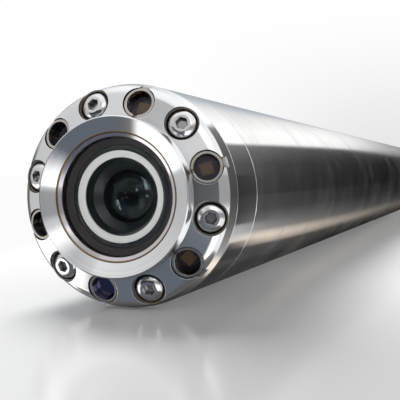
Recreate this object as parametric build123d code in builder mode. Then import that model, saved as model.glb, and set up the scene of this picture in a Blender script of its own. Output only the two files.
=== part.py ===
from build123d import *
from math import cos, sin, tan, radians, sqrt
import os

# Downhole inspection camera, lying on its side, in millimetres.
# The tool axis is Y: the lens looks along -Y, the cable end faces +Y, +Z is up.
# The origin is the centre of the open end face of the tail sub.

# Main sizes
tool_radius = 25.0
tool_length = 760.0
tube_wall = 3.0
tube_bore_radius = tool_radius - tube_wall

# Front shoulder of the lamp head: stations run back from the front rim of the bezel
shoulder_width = 7.5
shoulder_tilt = 20.0
shoulder_slope = tan(radians(shoulder_tilt))
shoulder_across = cos(radians(shoulder_tilt))
shoulder_along = sin(radians(shoulder_tilt))
shoulder_round_width = 2.5
shoulder_edge_width = 0.6
shoulder_round_length = 1.68
shoulder_full_setback = 0.6
seam_chamfer = 0.15
bezel_foot_s = 3.4

# Window bezel
bezel_radius = tool_radius - shoulder_width
bezel_rim_chamfer = 0.25
bezel_face_width = 3.36
bezel_bore_radius = bezel_radius - bezel_face_width
bezel_bore_s = 1.77
bezel_ledge = 1.5
bezel_skirt_radius = bezel_radius - bezel_ledge
bezel_skirt_wall = 0.8

# Window and its metal ring
ring_clearance = 0.09
ring_wall = 0.95
ring_boss_radius = bezel_bore_radius - ring_clearance
ring_front_s = bezel_bore_s + 0.18
ring_bevel = 0.1
ring_face_fall = 0.45
ring_flange_clearance = 0.05
ring_flange_radius = bezel_skirt_radius - bezel_skirt_wall - ring_flange_clearance
window_radius = ring_boss_radius - ring_wall
window_setback = 0.65
window_front_s = ring_front_s + window_setback
window_thickness = 2.75
window_edge_chamfer = 0.1
window_back_s = window_front_s + window_thickness
window_seat_setback = 0.65
window_seat_s = window_back_s + window_seat_setback

# Face seal under the window ring
window_seal_section = 1.2
window_seal_slack = 0.3
window_seal_radius = (window_radius + ring_flange_radius) / 2
window_seal_inner = window_seal_radius - (window_seal_section + window_seal_slack) / 2
window_seal_outer = window_seal_radius + (window_seal_section + window_seal_slack) / 2
window_seal_floor_s = window_seat_s + window_seal_section

# Baffle, lens and lens trim
baffle_width = 1.7
baffle_land = 0.25
baffle_dish = 0.65
baffle_length = 2.5
baffle_inner_s = window_back_s + baffle_dish
baffle_rear_s = baffle_inner_s + baffle_length
barrel_radius = window_radius - baffle_width
barrel_setback = 0.05
barrel_front_s = baffle_inner_s - barrel_setback
barrel_lip_width = 0.95
barrel_lip_rise = 0.1
barrel_lip_inner_radius = barrel_radius - barrel_lip_width
barrel_lip_front_s = barrel_front_s - barrel_lip_rise
barrel_chamfer = 0.2
barrel_moat = 0.31
barrel_moat_depth = 2.05
barrel_step_s = barrel_front_s + barrel_moat_depth
trim_width = 1.51
trim_outer_radius = barrel_lip_inner_radius - barrel_moat
trim_inner_radius = trim_outer_radius - trim_width
trim_setback = 0.22
trim_dish = 0.55
trim_front_s = window_back_s + trim_setback
trim_inner_s = trim_front_s + trim_dish
hood_setback = 0.23
hood_land = 0.18
hood_wall_width = 0.8
hood_wall_length = 1.75
hood_funnel_width = 1.69
hood_funnel_length = 1.7
hood_throat_land = 0.4
hood_front_s = trim_inner_s + hood_setback
hood_mouth_radius = trim_inner_radius - hood_land
hood_step_radius = hood_mouth_radius - hood_wall_width
hood_step_s = hood_front_s + hood_wall_length
hood_throat_radius = hood_step_radius - hood_funnel_width
hood_throat_s = hood_step_s + hood_funnel_length
front_glass_lap = 1.24
front_glass_depth = 3.2
front_glass_rise = 4.5
front_glass_clearance = 0.2
front_glass_radius = hood_throat_radius + front_glass_lap
front_glass_curve = (front_glass_radius**2 + front_glass_rise**2) / (2 * front_glass_rise)
front_glass_touch_s = hood_throat_s + hood_throat_land + front_glass_clearance
barrel_stop_s = hood_throat_s + front_glass_depth
barrel_aperture_radius = 4.0
rear_glass_setback = 2.0
rear_glass_thickness = 3.0
rear_glass_curve = 9.0
rear_glass_front_s = barrel_stop_s + rear_glass_setback

# Lamps round the window, each pocket starting at the foot of the bezel
lamp_count = 6
lamp_first_angle = 18.0
lamp_pocket_radius = 3.65
lamp_bezel_gap = 0.02
lamp_seat_radius = bezel_radius + lamp_pocket_radius * shoulder_across + lamp_bezel_gap
lamp_seat_s = bezel_foot_s + (lamp_seat_radius - bezel_radius) * shoulder_slope
lamp_ledge = 0.75
lamp_well_radius = lamp_pocket_radius - lamp_ledge
retainer_gap = 0.25
retainer_width = 0.55
retainer_outer_radius = lamp_pocket_radius - retainer_gap
retainer_inner_radius = retainer_outer_radius - retainer_width
retainer_top_depth = 0.45
retainer_thickness = 1.65
retainer_slot_width = 0.9
retainer_slot_depth = 0.7
lamp_window_thickness = 1.0
lamp_well_depth = 1.3
lamp_board_thickness = 0.5
lamp_window_top_depth = retainer_top_depth + retainer_thickness
lamp_window_bottom_depth = lamp_window_top_depth + lamp_window_thickness
lamp_board_top_depth = lamp_window_bottom_depth + lamp_well_depth
lamp_board_bottom_depth = lamp_board_top_depth + lamp_board_thickness
reflector_rim = 0.3
reflector_slope_width = 0.35
reflector_mouth_radius = lamp_well_radius - reflector_rim
reflector_foot_radius = reflector_mouth_radius - reflector_slope_width
chip_clearance = 0.3
chip_side = (reflector_foot_radius - chip_clearance) * sqrt(2)
chip_height = 0.7
notch_width = 2.3
notch_overlap = 0.65
notch_length = 3.5
notch_inner_reach = lamp_pocket_radius - notch_overlap
notch_outer_reach = notch_inner_reach + notch_length
lug_clearance = 0.05
lug_overhang = 0.48
lug_thickness = 0.75
lug_top_depth = lamp_window_top_depth - lug_thickness
head_edge_radius = tool_radius - shoulder_edge_width
lug_reach = (head_edge_radius - lamp_seat_radius) / shoulder_across + lug_overhang
lamp_wire_radius = 0.6
lamp_wire_setback = 0.8
lamp_wire_s = baffle_rear_s + lamp_wire_setback

# Rear face of the lamp head, a thin floor behind the lamp wells
head_floor = 0.35
lamp_well_end_s = (
    lamp_seat_s + lamp_well_radius * shoulder_along + lamp_board_bottom_depth * shoulder_across
)
head_rear_s = lamp_well_end_s + head_floor
shoulder_full_s = head_rear_s - shoulder_full_setback
shoulder_round_radius = tool_radius - shoulder_round_width

# Screws of the lamp head, M4 with a low domed head
screw_count = 6
screw_first_angle = 48.0
screw_seat_offset = 0.3
screw_seat_radius = lamp_seat_radius + screw_seat_offset
screw_pocket_radius = 3.8
screw_pocket_clearance = 0.3
screw_head_radius = screw_pocket_radius - screw_pocket_clearance
screw_head_height = 2.0
screw_head_rim = 0.5
screw_head_flat_radius = 1.9
screw_head_fall = -18.0
screw_hex_across_flats = 2.5
screw_hex_depth = 1.3
screw_shank_radius = 2.0
screw_shank_length = 8.0
screw_clearance = 0.2
screw_hole_extra = 0.5

# Spigot of the lamp head in the collar
head_spigot_wall = 2.4
head_spigot_length = 5.4
head_spigot_radius = window_radius + head_spigot_wall
head_spigot_end_s = head_rear_s + head_spigot_length
head_seal_section = 1.1
head_seal_slack = 0.5
head_seal_setback = 2.4
head_seal_s = head_rear_s + head_seal_setback

# Collar and its spigot in the tube
collar_length = 15.7
collar_spigot_length = 23.7
collar_rear_chamfer = 0.4
tube_front_chamfer = 0.3
collar_rear_s = head_rear_s + collar_length
collar_spigot_end_s = collar_rear_s + collar_spigot_length
tube_seal_section = 2.0
tube_seal_slack = 0.6
tube_seal_groove_width = tube_seal_section + tube_seal_slack
collar_seal_setback = 7.7
collar_seal_pitch = 7.0
collar_seal_first_s = collar_rear_s + collar_seal_setback
collar_seal_second_s = collar_seal_first_s + collar_seal_pitch

# Camera behind the lens
mount_setback = 5.5
mount_length = 4.5
mount_front_s = head_spigot_end_s + mount_setback
collar_step_s = mount_front_s + mount_length
barrel_grip = 4.0
barrel_rear_s = collar_step_s + barrel_grip
camera_body_clearance = 0.5
camera_body_step = 1.0
camera_body_wall = 1.5
camera_body_radius = head_spigot_radius - camera_body_step
collar_rear_bore_radius = camera_body_radius + camera_body_clearance
camera_cavity_radius = camera_body_radius - camera_body_wall
camera_body_length = 32.0
camera_body_rear_s = barrel_rear_s + camera_body_length
camera_rear_wall = 2.0
sensor_board_thickness = 1.6
sensor_chip_side = 9.0
sensor_chip_height = 1.2

# Tail: stations of the tube's rear end and of the tail sub
tail_length = 70.0
tail_spigot_length = 26.0
tube_rear_s = tool_length - tail_length
sub_front_s = tube_rear_s - tail_spigot_length
sub_seal_setback = 5.0
sub_seal_pitch = 6.5
sub_seal_first_s = sub_front_s + sub_seal_setback
sub_seal_second_s = sub_seal_first_s + sub_seal_pitch

# Chassis inside the tube
bulkhead_thickness = 6.0
bulkhead_hole_radius = 6.0
rail_offset = 13.0
rail_width = 3.0
rail_height = 10.0
board_thickness = 1.6
video_board_start_s = 90.0
video_board_length = 210.0
power_board_start_s = 340.0
power_board_length = 220.0
board_chip_size = 12.0
board_chip_height = 2.2
board_chip_pitch = 40.0
coil_radius = 7.0
coil_height = 8.0
coil_pitch = 55.0

# Tail sub with its threaded box
seal_bore_radius = 12.7
seal_bore_length = 14.0
box_thread_step = 1.6
box_thread_radius = seal_bore_radius + box_thread_step
box_thread_length = 22.0
insulator_radius = 9.5
insulator_length = 18.0
contact_radius = 2.5
contact_bore_radius = 1.2
contact_bore_depth = 12.0
contact_tail_length = 6.0
sub_wire_bore_radius = 5.0
sub_end_chamfer = 1.5
flat_setback = 18.0
flat_start_s = tube_rear_s + flat_setback
flat_length = 22.0
flat_across = 43.0
set_screw_count = 3
set_screw_first_angle = 90.0
set_screw_setback = 6.5
set_screw_s = tube_rear_s - set_screw_setback
set_screw_radius = 2.0
set_screw_sink = 0.6
set_screw_length = 5.8
set_screw_outer_radius = tool_radius - set_screw_sink
set_screw_inner_radius = set_screw_outer_radius - set_screw_length
set_screw_hex_across_flats = 2.0
set_screw_hex_depth = 1.6

# Slack used only to carry a cut clear of a face
cut_over = 1.0


def at(station):
    return station - tool_length


def radial(angle):
    return Vector(cos(radians(angle)), 0, sin(radians(angle)))


def shoulder_s(radius):
    return bezel_foot_s + (radius - bezel_radius) * shoulder_slope


# A plane square to the tilted shoulder: its x points outward along the shoulder,
# its z points out of the metal, and depth moves its origin down into the metal.
def shoulder_plane(angle, radius, depth):
    outward = radial(angle)
    normal = outward * shoulder_along + Vector(0, -shoulder_across, 0)
    along = outward * shoulder_across + Vector(0, shoulder_along, 0)
    seat = outward * radius + Vector(0, at(shoulder_s(radius)), 0)
    return Plane(origin=seat - normal * depth, x_dir=along, z_dir=normal)


# A plane whose z points outward from the tool axis at one station.
def radial_plane(angle, station, radius):
    outward = radial(angle)
    spot = outward * radius + Vector(0, at(station), 0)
    return Plane(origin=spot, x_dir=Vector(0, 1, 0), z_dir=outward)


# A plane square to the tool axis at one station, with its z toward the tail.
def cross_plane(station):
    return Plane(origin=(0, at(station), 0), x_dir=(1, 0, 0), z_dir=(0, 1, 0))


def evenly(count, first):
    return [first + step * 360.0 / count for step in range(count)]


def sphere_drop(radius, curve):
    return curve - sqrt(curve * curve - radius * radius)


# A round seal ring about the tool axis.
def seal_ring(ring_radius, station, section):
    with BuildPart(mode=Mode.PRIVATE) as ring:
        with BuildSketch(Plane.XY):
            with Locations((ring_radius, at(station))):
                Circle(section / 2)
        revolve(axis=Axis.Y)
    return ring.part


screw_angles = evenly(screw_count, screw_first_angle)
lamp_angles = evenly(lamp_count, lamp_first_angle)
set_screw_angles = evenly(set_screw_count, set_screw_first_angle)

os.makedirs("parts", exist_ok=True)

# Window bezel: a dished front face, a lip over the window ring and a thin threaded skirt
with BuildPart() as window_bezel:
    with BuildSketch(Plane.XY):
        with BuildLine():
            Polyline(
                (bezel_radius - bezel_rim_chamfer, at(0)),
                (bezel_radius, at(bezel_rim_chamfer)),
                (bezel_radius, at(bezel_foot_s)),
                (bezel_skirt_radius, at(bezel_foot_s)),
                (bezel_skirt_radius, at(window_seat_s)),
                (bezel_skirt_radius - bezel_skirt_wall, at(window_seat_s)),
                (bezel_skirt_radius - bezel_skirt_wall, at(bezel_foot_s)),
                (bezel_bore_radius, at(bezel_foot_s)),
                (bezel_bore_radius, at(bezel_bore_s)),
                close=True,
            )
        make_face()
    revolve(axis=Axis.Y)
window_bezel.part.label = "window_bezel"
export_step(window_bezel.part, "parts/window_bezel.step")

# Window ring: the polished metal frame that the window is bonded into
with BuildPart() as window_ring:
    with BuildSketch(Plane.XY):
        with BuildLine():
            Polyline(
                (window_radius, at(ring_front_s + ring_face_fall)),
                (ring_boss_radius - ring_bevel, at(ring_front_s)),
                (ring_boss_radius, at(ring_front_s + ring_bevel)),
                (ring_boss_radius, at(bezel_foot_s)),
                (ring_flange_radius, at(bezel_foot_s)),
                (ring_flange_radius, at(window_seat_s)),
                (window_radius, at(window_seat_s)),
                close=True,
            )
        make_face()
    revolve(axis=Axis.Y)
window_ring.part.label = "window_ring"
export_step(window_ring.part, "parts/window_ring.step")

# Main window: a thick clear disc
with BuildPart() as main_window:
    with BuildSketch(Plane.XY):
        with BuildLine():
            Polyline(
                (0, at(window_front_s)),
                (window_radius - window_edge_chamfer, at(window_front_s)),
                (window_radius, at(window_front_s + window_edge_chamfer)),
                (window_radius, at(window_back_s)),
                (0, at(window_back_s)),
                close=True,
            )
        make_face()
    revolve(axis=Axis.Y)
main_window.part.label = "main_window"
export_step(main_window.part, "parts/main_window.step")

# Window seal: the ring in the groove under the window ring
window_seal = seal_ring(
    window_seal_radius, window_seat_s + window_seal_section / 2, window_seal_section
)
window_seal.label = "window_seal"
export_step(window_seal, "parts/window_seal.step")

# Lens baffle: the matt black cone round the lens
with BuildPart() as lens_baffle:
    with BuildSketch(Plane.XY):
        with BuildLine():
            Polyline(
                (window_radius, at(window_back_s)),
                (window_radius - baffle_land, at(window_back_s)),
                (barrel_radius, at(baffle_inner_s)),
                (barrel_radius, at(baffle_rear_s)),
                (window_radius, at(baffle_rear_s)),
                close=True,
            )
        make_face()
    revolve(axis=Axis.Y)
lens_baffle.part.label = "lens_baffle"
export_step(lens_baffle.part, "parts/lens_baffle.step")

# Lens barrel: a stepped black tube with a narrow moat round the trim ring
with BuildPart() as lens_barrel:
    with BuildSketch(Plane.XY):
        with BuildLine():
            Polyline(
                (barrel_lip_inner_radius, at(barrel_lip_front_s)),
                (barrel_radius - barrel_chamfer, at(barrel_front_s)),
                (barrel_radius, at(barrel_front_s + barrel_chamfer)),
                (barrel_radius, at(barrel_rear_s)),
                (barrel_aperture_radius, at(barrel_rear_s)),
                (barrel_aperture_radius, at(barrel_stop_s)),
                (trim_inner_radius, at(barrel_stop_s)),
                (trim_inner_radius, at(barrel_step_s)),
                (barrel_lip_inner_radius, at(barrel_step_s)),
                close=True,
            )
        make_face()
    revolve(axis=Axis.Y)
lens_barrel.part.label = "lens_barrel"
export_step(lens_barrel.part, "parts/lens_barrel.step")

# Lens trim ring: the pale ring with a gently dished front
with BuildPart() as lens_trim_ring:
    with BuildSketch(Plane.XY):
        with BuildLine():
            Polyline(
                (trim_outer_radius, at(trim_front_s)),
                (trim_outer_radius, at(barrel_step_s)),
                (trim_inner_radius, at(barrel_step_s)),
                (trim_inner_radius, at(trim_inner_s)),
                close=True,
            )
        make_face()
    revolve(axis=Axis.Y)
lens_trim_ring.part.label = "lens_trim_ring"
export_step(lens_trim_ring.part, "parts/lens_trim_ring.step")

# Lens hood: a stepped funnel down to the front glass
front_glass_apex_s = front_glass_touch_s - sphere_drop(hood_throat_radius, front_glass_curve)
glass_edge_s = front_glass_apex_s + front_glass_rise
hood_seat_radius = (hood_throat_radius + front_glass_radius) / 2
hood_seat_drop = sphere_drop(hood_seat_radius, front_glass_curve)
hood_seat_s = front_glass_apex_s + hood_seat_drop - front_glass_clearance
with BuildPart() as lens_hood:
    with BuildSketch(Plane.XY):
        with BuildLine():
            Polyline(
                (trim_inner_radius, at(hood_front_s)),
                (hood_mouth_radius, at(hood_front_s)),
                (hood_step_radius, at(hood_step_s)),
                (hood_throat_radius, at(hood_throat_s)),
                (hood_throat_radius, at(hood_throat_s + hood_throat_land)),
            )
            ThreePointArc(
                (hood_throat_radius, at(hood_throat_s + hood_throat_land)),
                (hood_seat_radius, at(hood_seat_s)),
                (front_glass_radius, at(glass_edge_s - front_glass_clearance)),
            )
            Polyline(
                (front_glass_radius, at(glass_edge_s - front_glass_clearance)),
                (front_glass_radius, at(barrel_stop_s)),
                (trim_inner_radius, at(barrel_stop_s)),
                (trim_inner_radius, at(hood_front_s)),
            )
        make_face()
    revolve(axis=Axis.Y)
lens_hood.part.label = "lens_hood"
export_step(lens_hood.part, "parts/lens_hood.step")

# Lens front glass: domed in front and flat behind
with BuildPart() as lens_front_glass:
    with BuildSketch(Plane.XY):
        with BuildLine():
            glass_mid_radius = front_glass_radius / 2
            glass_mid_s = front_glass_apex_s + sphere_drop(glass_mid_radius, front_glass_curve)
            ThreePointArc(
                (0, at(front_glass_apex_s)),
                (glass_mid_radius, at(glass_mid_s)),
                (front_glass_radius, at(glass_edge_s)),
            )
            Polyline(
                (front_glass_radius, at(glass_edge_s)),
                (front_glass_radius, at(barrel_stop_s)),
                (0, at(barrel_stop_s)),
                (0, at(front_glass_apex_s)),
            )
        make_face()
    revolve(axis=Axis.Y)
lens_front_glass.part.label = "lens_front_glass"
export_step(lens_front_glass.part, "parts/lens_front_glass.step")

# Lens rear glass: a small domed element in the aperture of the barrel
rear_edge_s = rear_glass_front_s + sphere_drop(barrel_aperture_radius, rear_glass_curve)
with BuildPart() as lens_rear_glass:
    with BuildSketch(Plane.XY):
        with BuildLine():
            rear_mid_radius = barrel_aperture_radius / 2
            rear_mid_s = rear_glass_front_s + sphere_drop(rear_mid_radius, rear_glass_curve)
            ThreePointArc(
                (0, at(rear_glass_front_s)),
                (rear_mid_radius, at(rear_mid_s)),
                (barrel_aperture_radius, at(rear_edge_s)),
            )
            Polyline(
                (barrel_aperture_radius, at(rear_edge_s)),
                (barrel_aperture_radius, at(rear_glass_front_s + rear_glass_thickness)),
                (0, at(rear_glass_front_s + rear_glass_thickness)),
                (0, at(rear_glass_front_s)),
            )
        make_face()
    revolve(axis=Axis.Y)
lens_rear_glass.part.label = "lens_rear_glass"
export_step(lens_rear_glass.part, "parts/lens_rear_glass.step")

# Lamp head: tilted shoulder with six screw pockets and six lamp pockets between them
cone_end_s = shoulder_s(shoulder_round_radius)
shoulder_edge_s = cone_end_s + shoulder_round_length
seal_groove_inner = head_spigot_radius - head_seal_section
seal_groove_start_s = head_seal_s - (head_seal_section + head_seal_slack) / 2
seal_groove_end_s = head_seal_s + (head_seal_section + head_seal_slack) / 2
with BuildPart() as lamp_head:
    with BuildSketch(Plane.XY):
        with BuildLine():
            TangentArc(
                (shoulder_round_radius, at(cone_end_s)),
                (head_edge_radius, at(shoulder_edge_s)),
                tangent=(shoulder_across, shoulder_along),
            )
            Polyline(
                (head_edge_radius, at(shoulder_edge_s)),
                (tool_radius, at(shoulder_full_s)),
                (tool_radius, at(head_rear_s - seam_chamfer)),
                (tool_radius - seam_chamfer, at(head_rear_s)),
                (head_spigot_radius, at(head_rear_s)),
                (head_spigot_radius, at(seal_groove_start_s)),
                (seal_groove_inner, at(seal_groove_start_s)),
                (seal_groove_inner, at(seal_groove_end_s)),
                (head_spigot_radius, at(seal_groove_end_s)),
                (head_spigot_radius, at(head_spigot_end_s)),
                (window_radius, at(head_spigot_end_s)),
                (window_radius, at(window_seat_s)),
                (window_seal_inner, at(window_seat_s)),
                (window_seal_inner, at(window_seal_floor_s)),
                (window_seal_outer, at(window_seal_floor_s)),
                (window_seal_outer, at(window_seat_s)),
                (bezel_skirt_radius, at(window_seat_s)),
                (bezel_skirt_radius, at(bezel_foot_s)),
                (bezel_radius, at(bezel_foot_s)),
                (shoulder_round_radius, at(cone_end_s)),
            )
        make_face()
    revolve(axis=Axis.Y)
    for angle in screw_angles:
        with BuildSketch(shoulder_plane(angle, screw_seat_radius, -cut_over)):
            Circle(screw_pocket_radius)
        extrude(amount=-cut_over - screw_head_height, mode=Mode.SUBTRACT)
        with BuildSketch(shoulder_plane(angle, screw_seat_radius, 0)):
            Circle(screw_shank_radius + screw_clearance)
        extrude(amount=-screw_head_height - screw_shank_length, mode=Mode.SUBTRACT)
    for angle in lamp_angles:
        with BuildSketch(shoulder_plane(angle, lamp_seat_radius, -cut_over)):
            Circle(lamp_pocket_radius)
        extrude(amount=-cut_over - lamp_window_bottom_depth, mode=Mode.SUBTRACT)
        with BuildSketch(shoulder_plane(angle, lamp_seat_radius, 0)):
            Circle(lamp_well_radius)
        extrude(amount=-lamp_board_bottom_depth, mode=Mode.SUBTRACT)
        with BuildSketch(shoulder_plane(angle, lamp_seat_radius, -cut_over)):
            with Locations(((notch_inner_reach + notch_outer_reach) / 2, 0)):
                Rectangle(notch_outer_reach - notch_inner_reach, notch_width)
        extrude(amount=-cut_over - lamp_window_top_depth, mode=Mode.SUBTRACT)
        with BuildSketch(radial_plane(angle, lamp_wire_s, 0)):
            Circle(lamp_wire_radius)
        extrude(amount=lamp_seat_radius - lamp_well_radius, mode=Mode.SUBTRACT)
lamp_head.part.label = "lamp_head"
export_step(lamp_head.part, "parts/lamp_head.step")

# Head screws: six alike, one node
with BuildPart(mode=Mode.PRIVATE) as screw_form:
    with BuildSketch(Plane.XZ):
        with BuildLine():
            Line((0, 0), (screw_head_flat_radius, 0))
            TangentArc(
                (screw_head_flat_radius, 0),
                (screw_head_radius, screw_head_rim - screw_head_height),
                tangent=(cos(radians(screw_head_fall)), sin(radians(screw_head_fall))),
            )
            Polyline(
                (screw_head_radius, screw_head_rim - screw_head_height),
                (screw_head_radius, -screw_head_height),
                (screw_shank_radius, -screw_head_height),
                (screw_shank_radius, -screw_head_height - screw_shank_length),
                (0, -screw_head_height - screw_shank_length),
                (0, 0),
            )
        make_face()
    revolve(axis=Axis.Z)
    with BuildSketch(Plane.XY):
        RegularPolygon(screw_hex_across_flats / 2, 6, major_radius=False)
    extrude(amount=-screw_hex_depth, mode=Mode.SUBTRACT)
screw_places = [shoulder_plane(angle, screw_seat_radius, 0).location for angle in screw_angles]
head_screws = Compound(label="head_screws", children=[place * screw_form.part for place in screw_places])
export_step(head_screws, "parts/head_screws.step")

# Lamp pieces: five for each of the six pockets
for index, angle in enumerate(lamp_angles):
    number = index + 1

    # Retainer ring with the lug that sits in the notch of the head
    with BuildPart() as lamp_retainer:
        with BuildSketch(shoulder_plane(angle, lamp_seat_radius, retainer_top_depth)):
            Circle(retainer_outer_radius)
        extrude(amount=retainer_top_depth - lamp_window_top_depth)
        with BuildSketch(shoulder_plane(angle, lamp_seat_radius, lug_top_depth)):
            with Locations((lug_reach / 2, 0)):
                Rectangle(lug_reach, notch_width - 2 * lug_clearance)
        extrude(amount=-lug_thickness)
        with BuildSketch(shoulder_plane(angle, lamp_seat_radius, 0)):
            Circle(retainer_inner_radius)
        extrude(amount=-lamp_window_top_depth, mode=Mode.SUBTRACT)
        with BuildSketch(shoulder_plane(angle, lamp_seat_radius, 0)):
            with Locations((-retainer_outer_radius, 0)):
                Rectangle(retainer_outer_radius, retainer_slot_width)
        extrude(amount=-retainer_top_depth - retainer_slot_depth, mode=Mode.SUBTRACT)
    lamp_retainer.part.label = f"lamp_retainer_{number}"
    export_step(lamp_retainer.part, f"parts/lamp_retainer_{number}.step")

    # Clear disc over the lamp
    with BuildPart() as lamp_window:
        with BuildSketch(shoulder_plane(angle, lamp_seat_radius, lamp_window_top_depth)):
            Circle(lamp_pocket_radius)
        extrude(amount=lamp_window_top_depth - lamp_window_bottom_depth)
    lamp_window.part.label = f"lamp_window_{number}"
    export_step(lamp_window.part, f"parts/lamp_window_{number}.step")

    # Dark conical cup that the clear disc rests on
    with BuildPart() as lamp_reflector:
        with BuildSketch(shoulder_plane(angle, lamp_seat_radius, lamp_window_bottom_depth)):
            Circle(lamp_well_radius)
        extrude(amount=lamp_window_bottom_depth - lamp_board_top_depth)
        with BuildSketch(shoulder_plane(angle, lamp_seat_radius, lamp_window_bottom_depth)):
            Circle(reflector_mouth_radius)
        with BuildSketch(shoulder_plane(angle, lamp_seat_radius, lamp_board_top_depth)):
            Circle(reflector_foot_radius)
        loft(mode=Mode.SUBTRACT)
    lamp_reflector.part.label = f"lamp_reflector_{number}"
    export_step(lamp_reflector.part, f"parts/lamp_reflector_{number}.step")

    # Square light chip standing on the board
    with BuildPart() as lamp_chip:
        with BuildSketch(shoulder_plane(angle, lamp_seat_radius, lamp_board_top_depth)):
            Rectangle(chip_side, chip_side)
        extrude(amount=chip_height)
    lamp_chip.part.label = f"lamp_chip_{number}"
    export_step(lamp_chip.part, f"parts/lamp_chip_{number}.step")

    # Small round board on the floor of the well
    with BuildPart() as lamp_board:
        with BuildSketch(shoulder_plane(angle, lamp_seat_radius, lamp_board_top_depth)):
            Circle(lamp_well_radius)
        extrude(amount=lamp_board_top_depth - lamp_board_bottom_depth)
    lamp_board.part.label = f"lamp_board_{number}"
    export_step(lamp_board.part, f"parts/lamp_board_{number}.step")

# Head seal: the ring on the spigot of the lamp head
head_seal = seal_ring(head_spigot_radius - head_seal_section / 2, head_seal_s, head_seal_section)
head_seal.label = "head_seal"
export_step(head_seal, "parts/head_seal.step")

# Head collar: a plain band with a long spigot for the tube
tube_groove_inner = tube_bore_radius - tube_seal_section
with BuildPart() as head_collar:
    with BuildSketch(Plane.XY):
        with BuildLine():
            Polyline(
                (head_spigot_radius, at(head_rear_s)),
                (tool_radius - seam_chamfer, at(head_rear_s)),
                (tool_radius, at(head_rear_s + seam_chamfer)),
                (tool_radius, at(collar_rear_s - collar_rear_chamfer)),
                (tool_radius - collar_rear_chamfer, at(collar_rear_s)),
                (tube_bore_radius, at(collar_rear_s)),
                (tube_bore_radius, at(collar_spigot_end_s)),
                (collar_rear_bore_radius, at(collar_spigot_end_s)),
                (collar_rear_bore_radius, at(collar_step_s)),
                (head_spigot_radius, at(collar_step_s)),
                close=True,
            )
        make_face()
    revolve(axis=Axis.Y)
    for groove_s in (collar_seal_first_s, collar_seal_second_s):
        with BuildSketch(cross_plane(groove_s - tube_seal_groove_width / 2)):
            Circle(tube_bore_radius + cut_over)
            Circle(tube_groove_inner, mode=Mode.SUBTRACT)
        extrude(amount=tube_seal_groove_width, mode=Mode.SUBTRACT)
    for angle in screw_angles:
        with BuildSketch(shoulder_plane(angle, screw_seat_radius, 0)):
            Circle(screw_shank_radius)
        extrude(amount=-screw_head_height - screw_shank_length - screw_hole_extra, mode=Mode.SUBTRACT)
head_collar.part.label = "head_collar"
export_step(head_collar.part, "parts/head_collar.step")

# Collar seals: two alike, one node
collar_seals = Compound(
    label="collar_seals",
    children=[
        seal_ring(tube_bore_radius - tube_seal_section / 2, station, tube_seal_section)
        for station in (collar_seal_first_s, collar_seal_second_s)
    ],
)
export_step(collar_seals, "parts/collar_seals.step")

# Housing tube: the long plain barrel
with BuildPart() as housing_tube:
    with BuildSketch(Plane.XY):
        with BuildLine():
            Polyline(
                (tube_bore_radius, at(collar_rear_s)),
                (tool_radius - tube_front_chamfer, at(collar_rear_s)),
                (tool_radius, at(collar_rear_s + tube_front_chamfer)),
                (tool_radius, at(tube_rear_s - tube_front_chamfer)),
                (tool_radius - tube_front_chamfer, at(tube_rear_s)),
                (tube_bore_radius, at(tube_rear_s)),
                close=True,
            )
        make_face()
    revolve(axis=Axis.Y)
    for angle in set_screw_angles:
        with BuildSketch(radial_plane(angle, set_screw_s, 0)):
            Circle(set_screw_radius)
        extrude(amount=tool_radius + cut_over, mode=Mode.SUBTRACT)
housing_tube.part.label = "housing_tube"
export_step(housing_tube.part, "parts/housing_tube.step")

# Camera mount: the ring that centres the lens barrel in the collar
with BuildPart() as camera_mount:
    with BuildSketch(cross_plane(mount_front_s)):
        Circle(head_spigot_radius)
        Circle(barrel_radius, mode=Mode.SUBTRACT)
    extrude(amount=collar_step_s - mount_front_s)
camera_mount.part.label = "camera_mount"
export_step(camera_mount.part, "parts/camera_mount.step")

# Camera body: a can that grips the rear of the lens barrel
with BuildPart() as camera_body:
    with BuildSketch(cross_plane(collar_step_s)):
        Circle(camera_body_radius)
    extrude(amount=camera_body_rear_s - collar_step_s)
    with BuildSketch(cross_plane(collar_step_s)):
        Circle(barrel_radius)
    extrude(amount=barrel_rear_s - collar_step_s, mode=Mode.SUBTRACT)
    with BuildSketch(cross_plane(barrel_rear_s)):
        Circle(camera_cavity_radius)
    extrude(amount=camera_body_rear_s - camera_rear_wall - barrel_rear_s, mode=Mode.SUBTRACT)
camera_body.part.label = "camera_body"
export_step(camera_body.part, "parts/camera_body.step")

# Sensor board: round, against the rear of the barrel, with its chip in the aperture line
with BuildPart() as sensor_board:
    with BuildSketch(cross_plane(barrel_rear_s)):
        Circle(camera_cavity_radius)
    extrude(amount=sensor_board_thickness)
    with BuildSketch(cross_plane(barrel_rear_s + sensor_board_thickness)):
        Rectangle(sensor_chip_side, sensor_chip_side)
    extrude(amount=sensor_chip_height)
sensor_board.part.label = "sensor_board"
export_step(sensor_board.part, "parts/sensor_board.step")

# Front bulkhead: a disc behind the camera with a wire hole
with BuildPart() as front_bulkhead:
    with BuildSketch(cross_plane(camera_body_rear_s)):
        Circle(tube_bore_radius)
        Circle(bulkhead_hole_radius, mode=Mode.SUBTRACT)
    extrude(amount=bulkhead_thickness)
front_bulkhead.part.label = "front_bulkhead"
export_step(front_bulkhead.part, "parts/front_bulkhead.step")

# Rear bulkhead: the same disc against the tail sub
with BuildPart() as rear_bulkhead:
    with BuildSketch(cross_plane(sub_front_s - bulkhead_thickness)):
        Circle(tube_bore_radius)
        Circle(bulkhead_hole_radius, mode=Mode.SUBTRACT)
    extrude(amount=bulkhead_thickness)
rear_bulkhead.part.label = "rear_bulkhead"
export_step(rear_bulkhead.part, "parts/rear_bulkhead.step")

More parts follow.
